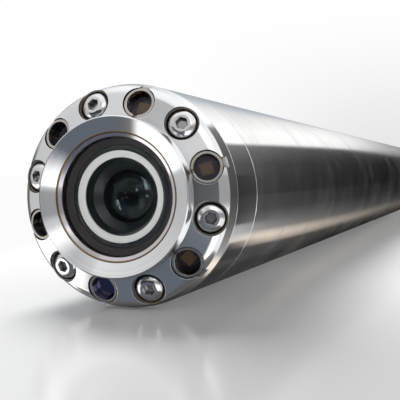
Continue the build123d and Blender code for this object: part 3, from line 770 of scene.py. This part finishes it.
def floor_material():
    """Pale board with a faint gloss and a painted shadow beside the head, which meets the backdrop's
    colour far from the tool.
    """
    material, tree = blank_material("floor_pale")
    place = position(tree)
    x, y, z = split(tree, place)
    ahead = calc(tree, "ADD", y, TOOL_LENGTH)
    away = distance(tree, x, ahead)
    plain = mix(tree, noise(tree, place, FLOOR_CLOUD), FLOOR_PALE, FLOOR_PALER)
    # Darkens the floor's colour ahead of the head on one side: painted shadow
    colour = mix(tree, painted_floor_shadow(tree, x, ahead, away), plain, FLOOR_SHADOW_GREY)
    board = make(tree, "ShaderNodeBsdfDiffuse", {"Color": colour}).outputs[0]
    gloss = {"Color": grey(1.0), "Roughness": FLOOR_GLOSS_ROUGHNESS}
    sheen = make(tree, "ShaderNodeBsdfGlossy", gloss).outputs[0]
    surface = blend(tree, FLOOR_GLOSS, board, sheen)
    far = calc(tree, "MAXIMUM", remap(tree, away, *FAR_REACH), remap(tree, x, *FAR_BESIDE))
    path = make(tree, "ShaderNodeLightPath").outputs
    seen_far = product(tree, far, path["Is Camera Ray"])
    glow = make(tree, "ShaderNodeEmission", {"Color": FLOOR_FAR, "Strength": 1.0}).outputs[0]
    show(tree, blend(tree, seen_far, surface, glow))
    return material


def floor():
    """The floor that the tool lies on."""
    corners = [(-1, -1), (1, -1), (1, 1), (-1, 1)]
    vertices = [(x * FLOOR_HALF, y * FLOOR_HALF, FLOOR_Z) for x, y in corners]
    mesh = bpy.data.meshes.new("studio_floor")
    mesh.from_pydata(vertices, [], [(0, 1, 2, 3)])
    board = bpy.data.objects.new("studio_floor", mesh)
    bpy.context.scene.collection.objects.link(board)
    mesh.materials.append(floor_material())
    board.visible_glossy = False
    board.visible_transmission = False


floor()


# Studio, with all angles in degrees


def angle_of(tree, operation, first, second=0.0):
    """The angle in degrees that an inverse function gives."""
    return product(tree, calc(tree, operation, first, second), DEGREES)


def from_lens(tree, x, y, z):
    """The turn from the lens's own direction, and the height, of a direction."""
    turn = angle_of(tree, "ARCTAN2", x, product(tree, y, -1.0))
    return turn, angle_of(tree, "ARCSINE", z)


def part_of(tree, angle, whole):
    """An angle between minus and plus half of the whole, as a part from 0 to 1."""
    return calc(tree, "ADD", calc(tree, "DIVIDE", angle, whole), 0.5)


def band(tree, value, low, high, soft):
    """1 between low and high, 0 outside, with soft ends."""
    rise = remap(tree, value, low - soft / 2, low + soft / 2)
    fall = remap(tree, value, high - soft / 2, high + soft / 2, 1.0, 0.0)
    return product(tree, rise, fall)


def with_panels(tree, under, turn, height, panels):
    """Lays panels of (sides, rows, colour, softness) over the colour under them."""
    for sides, rows, colour, soft in panels:
        across = band(tree, turn, *sides, soft)
        up = band(tree, height, *rows, soft)
        under = mix(tree, product(tree, across, up), under, colour)
    return under


FRONT_WALLS = [
    (-90, 0.12),
    (-60, 0.15),
    (-45, 0.20),
    (-34, 0.40),
    (-20, 0.72),
    (0, 0.74),
    (25, 0.82),
    (45, 0.92),
    (60, 1.30),
    (90, 1.40),
]
FRONT_PANELS = [
    ((-175, -84), (-12, 15), grey(0.20), 10),
    ((-112, -53), (-41, -14), grey(2.0), 4),
    ((-46, 25.5), (-95, -8), (0.16, 0.18, 0.215, 1.0), 1.5),
    ((60, 165), (-42, -9), grey(1.25), 4),
    ((25.5, 62), (-42, -9), grey(2.0), 1.5),
    ((25, 165), (-6, 15), grey(0.45), 4),
    ((60, 165), (23, 52), grey(1.25), 4),
    ((18, 62), (23, 52), grey(1.8), 4),
    ((-52, 24), (-10, 11), (0.045, 0.05, 0.055, 1.0), 4),
    ((-16, 12), (33, 48), grey(0.62), 6),
]


def front_studio(tree, x, y, z):
    """What polished metal sees on the lens's side: white walls and a dark place for the camera."""
    turn, height = from_lens(tree, x, y, z)
    stops = [((row + 90.0) / 180.0, grey(level)) for row, level in FRONT_WALLS]
    walls = ramp(tree, part_of(tree, height, 180.0), stops)
    return with_panels(tree, walls, turn, height, FRONT_PANELS)


# Walls round the tube, each with a turn, a level and a tint: a dark floor, a warm strip where it
# catches the light, a grey wall, and a bright roof with a sharp edge that fades to a cool wall
PLAIN = (1.0, 1.0, 1.0)
WARM = (1.0, 0.88, 0.74)
COOL = (0.92, 1.0, 1.08)
SIDE_WALLS = [
    (-180, 0.03, PLAIN),
    (-110, 0.03, PLAIN),
    (-80, 0.10, PLAIN),
    (-76, 0.55, WARM),
    (-67, 1.00, WARM),
    (-60, 0.90, WARM),
    (-54, 0.33, PLAIN),
    (-40, 0.22, PLAIN),
    (-25, 0.11, PLAIN),
    (0, 0.06, PLAIN),
    (35, 0.09, PLAIN),
    (61, 0.19, PLAIN),
    (66, 1.35, PLAIN),
    (85, 1.35, PLAIN),
    (120, 0.93, PLAIN),
    (140, 0.55, COOL),
    (165, 0.42, COOL),
    (180, 0.03, PLAIN),
]
SIDE_PANELS = [
    ((-62, -41), (60, 73.5), grey(0.47), 4.0),
    ((-40, 20), (60, 73.5), grey(0.015), 3.0),
    ((-90, -63), (60, 73.5), grey(0.04), 3.0),
    ((163, 200), (60, 100), grey(0.07), 10.0),
]
LEAN_START = 70.0
LEAN_END = 90.0
LOW_FADE = [
    (70, 1.4),
    (73, 1.4),
    (75, 1.0),
    (77, 0.67),
    (79, 0.45),
    (81, 0.28),
    (83, 0.15),
    (86, 0.09),
    (90, 0.08),
]
HIGH_FADE = [
    (70, 1.05),
    (79, 0.96),
    (81, 0.72),
    (83, 0.28),
    (86, 0.14),
    (90, 0.12),
]
SPREAD_LEANS = (73.0, 81.0)
SPREAD_LEVELS = (1.03, 0.80)
HIGH_SIDES = (58.0, 70.0)


def side_walls(tree, place):
    """The walls round the long tube: a bright roof, dark sides and a warm strip of floor."""
    stops = []
    for turn, level, tint in SIDE_WALLS:
        colour = tuple(level * channel for channel in tint)
        stops.append(((turn + 180.0) / 360.0, colour + (1.0,)))
    return ramp(tree, part_of(tree, place, 360.0), stops)


def lean_fade(tree, along, levels):
    """The fade along the tool from levels at leans towards its tail."""
    span = LEAN_END - LEAN_START
    return ramp(tree, along, [((lean - LEAN_START) / span, grey(level)) for lean, level in levels])


def side_studio(tree, x, y, z):
    """What the long tube sees round its axis, dimmer and wider apart towards the tail."""
    lean = angle_of(tree, "ARCSINE", y)
    turn = angle_of(tree, "ARCTAN2", z, x)
    spread = remap(tree, lean, *SPREAD_LEANS, *SPREAD_LEVELS, "LINEAR")
    place = product(tree, turn, spread)
    walls = with_panels(tree, side_walls(tree, place), turn, lean, SIDE_PANELS)
    along = remap(tree, lean, LEAN_START, LEAN_END, kind="LINEAR")
    low = lean_fade(tree, along, LOW_FADE)
    high = lean_fade(tree, along, HIGH_FADE)
    fade = mix(tree, remap(tree, place, *HIGH_SIDES), low, high)
    return mix(tree, 1.0, walls, fade, "MULTIPLY")


PAPER = grey(0.995)
PAPER_SHADE = grey(0.62)
PAPER_SHADE_SHARE = 0.55
PAPER_SHADE_ROWS = (0.0, 11.0)
PAPER_SHADE_START = (-22.0, -6.0)
PAPER_SHADE_END = (20.0, 60.0)


def backdrop(tree, x, y, z):
    """The pale paper behind the tool, a little shaded low down on the right."""
    height = angle_of(tree, "ARCSINE", z)
    turn = angle_of(tree, "ARCTAN2", x, y)
    low = remap(tree, height, *PAPER_SHADE_ROWS, 1.0, 0.0)
    start = remap(tree, turn, *PAPER_SHADE_START)
    end = remap(tree, turn, *PAPER_SHADE_END, 1.0, 0.0)
    shade = product(tree, low, product(tree, start, end))
    return mix(tree, product(tree, shade, PAPER_SHADE_SHARE), PAPER, PAPER_SHADE)


ROOM_STOPS = [(0.3, grey(0.27)), (0.9, grey(0.40))]
SCREEN = grey(1.45)
SCREEN_AHEAD = (0.15, 0.65)
SCREEN_TOP = (0.30, 0.50)


def soft_fill(tree, y, z):
    """The even light of the studio, with a wide low screen in front of the lens."""
    room = ramp(tree, calc(tree, "ADD", product(tree, z, 0.5), 0.5), ROOM_STOPS)
    ahead = remap(tree, product(tree, y, -1.0), *SCREEN_AHEAD)
    low = remap(tree, calc(tree, "ABSOLUTE", z), *SCREEN_TOP, 1.0, 0.0)
    return mix(tree, product(tree, ahead, low), room, SCREEN)


# The lens mirrors a brighter studio, and three small lamps far brighter than white
LENS_STUDIO_LEVEL = grey(1.3)
GLINTS = [
    ((-55, -47), (-35, -12), (120.0, 142.0, 154.0, 1.0), 1.0),
    ((-33, -30), (-12, -9), (80.0, 72.0, 72.0, 1.0), 1.0),
    ((-16, -14), (-7, -5), (50.0, 45.0, 45.0, 1.0), 0.6),
]
PAPER_BEHIND = (-0.1, 0.1)


def through_glass(tree, x, y, z):
    """What is seen through glass: the studio and its small lamps ahead, and the paper behind."""
    turn, height = from_lens(tree, x, y, z)
    studio = mix(tree, 1.0, front_studio(tree, x, y, z), LENS_STUDIO_LEVEL, "MULTIPLY")
    studio = with_panels(tree, studio, turn, height, GLINTS)
    behind = remap(tree, y, *PAPER_BEHIND)
    return mix(tree, behind, studio, backdrop(tree, x, y, z))


SIDE_STUDIO_FROM = (0.42, 0.72)


def studio_world():
    """Soft even light, a pale backdrop, and the panels that the steel mirrors."""
    world = bpy.data.worlds.new("studio")
    bpy.context.scene.world = world
    world.use_nodes = True
    tree = world.node_tree
    tree.nodes.clear()
    direction = make(tree, "ShaderNodeTexCoord").outputs["Generated"]
    x, y, z = split(tree, direction)
    along = remap(tree, y, *SIDE_STUDIO_FROM)
    mirrored = mix(tree, along, front_studio(tree, x, y, z), side_studio(tree, x, y, z))
    path = make(tree, "ShaderNodeLightPath").outputs
    light = mix(tree, path["Is Glossy Ray"], soft_fill(tree, y, z), mirrored)
    beyond = mix(tree, path["Is Transmission Ray"], light, through_glass(tree, x, y, z))
    colour = mix(tree, path["Is Camera Ray"], beyond, backdrop(tree, x, y, z))
    glow = make(tree, "ShaderNodeBackground", {"Color": colour, "Strength": 1.0}).outputs[0]
    make(tree, "ShaderNodeOutputWorld", {"Surface": glow})


studio_world()

KEY_PLACE = (-0.26, -0.40, 0.50)
KEY_TARGET = (0.0, -0.76, -0.02)
KEY_WIDTH = 0.34
KEY_WATTS = 4.4


def key_light():
    """A soft box above the tool that mirrors don't show."""
    lamp = bpy.data.lights.new("key_light", "AREA")
    lamp.shape = "RECTANGLE"
    lamp.size = KEY_WIDTH
    lamp.size_y = KEY_WIDTH
    lamp.energy = KEY_WATTS
    piece = bpy.data.objects.new("key_light", lamp)
    bpy.context.scene.collection.objects.link(piece)
    piece.location = KEY_PLACE
    aim = Vector(KEY_TARGET) - Vector(KEY_PLACE)
    piece.rotation_euler = aim.to_track_quat("-Z", "Y").to_euler()
    piece.visible_glossy = False
    piece.visible_camera = False
    piece.visible_transmission = False


key_light()


def photo_camera():
    """The camera at the photograph's place."""
    data = bpy.data.cameras.new("photo_camera")
    data.lens = CAMERA_LENS
    data.sensor_width = CAMERA_SENSOR
    data.clip_start = CLIP_NEAR
    data.clip_end = CLIP_FAR
    piece = bpy.data.objects.new("photo_camera", data)
    bpy.context.scene.collection.objects.link(piece)
    back = -Vector(CAMERA_FORWARD).normalized()
    right = Vector(CAMERA_RIGHT).normalized()
    up = back.cross(right).normalized()
    turn = Matrix((right, up, back)).transposed().to_4x4()
    piece.matrix_world = Matrix.Translation(CAMERA_PLACE) @ turn
    bpy.context.scene.camera = piece


photo_camera()
bpy.context.scene.view_settings.view_transform = "Standard"


def write_sizes():
    """Brings the view layer up to date."""
    bpy.context.view_layer.update()


write_sizes()
